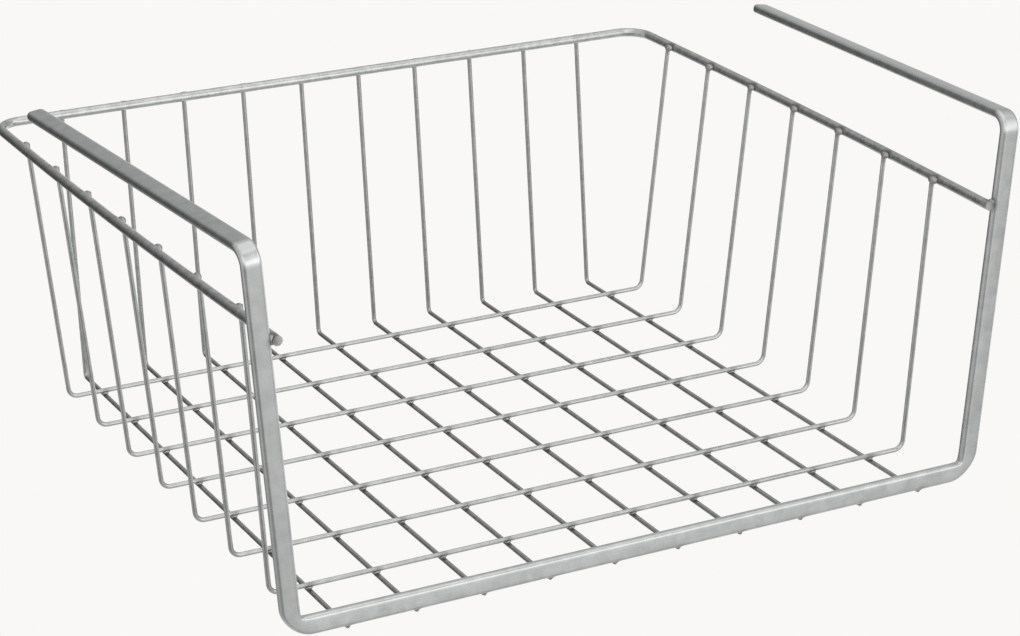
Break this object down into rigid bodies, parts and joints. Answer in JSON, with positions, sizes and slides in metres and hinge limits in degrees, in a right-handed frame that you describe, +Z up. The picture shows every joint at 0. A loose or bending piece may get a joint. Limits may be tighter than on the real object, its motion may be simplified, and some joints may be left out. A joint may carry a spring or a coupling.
{
  "type": "under shelf basket",
  "caption": "Open-front wire storage basket on a bent flat bar whose spring arms slide over a shelf board, so that it hangs beneath.",
  "frame": {"origin": "middle of the basket, at the surface that the long wires would stand on", "axes": "+Z up, +X to the basket's right seen from its open front, +Y to the back"},
  "size_m": [0.426, 0.354, 0.1917],
  "materials": {
    "plated_bar": "bright plated flat bar, faint drawing lines",
    "plated_rod": "bright plated round rod",
    "plated_wire": "bright plated thin wire"
  },
  "bodies": {
    "root": {"frame_bar": "plated_bar", "rim_rod": "plated_rod", "cross_wire_1": "plated_wire", "cross_wire_2": "plated_wire", "cross_wire_3": "plated_wire", "cross_wire_4": "plated_wire", "cross_wire_5": "plated_wire", "cross_wire_6": "plated_wire", "cross_wire_7": "plated_wire", "long_wire_1": "plated_wire", "long_wire_2": "plated_wire", "long_wire_3": "plated_wire", "long_wire_4": "plated_wire", "long_wire_5": "plated_wire", "long_wire_6": "plated_wire", "long_wire_7": "plated_wire", "long_wire_8": "plated_wire", "long_wire_9": "plated_wire", "long_wire_10": "plated_wire"}
  },
  "joints": []
}
